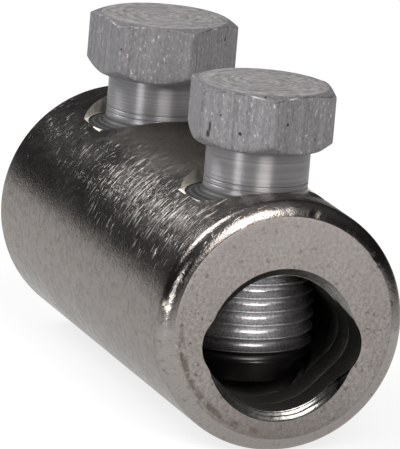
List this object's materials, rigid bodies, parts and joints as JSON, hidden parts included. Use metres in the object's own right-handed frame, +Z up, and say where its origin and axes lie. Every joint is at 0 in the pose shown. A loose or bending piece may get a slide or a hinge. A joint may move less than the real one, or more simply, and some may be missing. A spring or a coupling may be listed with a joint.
{
  "type": "screw splice connector",
  "caption": "Short plated tube that joins conductors end to end, with hexagon-headed shear bolts along its top.",
  "frame": {"origin": "under the middle of the tube, on its lowest line", "axes": "+X along the tube towards its front end, +Z up along the bolts, +Y to the left seen from behind the front end"},
  "size_m": [0.04, 0.0186, 0.0255],
  "materials": {
    "tinned_tube": "tin plated, scuffed",
    "bolt_alloy": "drawn and turned, satin"
  },
  "bodies": {
    "tube": {"connector_body": "tinned_tube"},
    "front_bolt": {"front_shear_bolt": "bolt_alloy"},
    "rear_bolt": {"rear_shear_bolt": "bolt_alloy"}
  },
  "joints": [
    {"name": "front_bolt_travel", "type": "slide", "parent": "tube", "child": "front_bolt", "axis": [0, 0, 1], "range_m": [-0.00075, 0.0098]},
    {"name": "rear_bolt_travel", "type": "slide", "parent": "tube", "child": "rear_bolt", "axis": [0, 0, 1], "range_m": [-0.00075, 0.0098]}
  ]
}
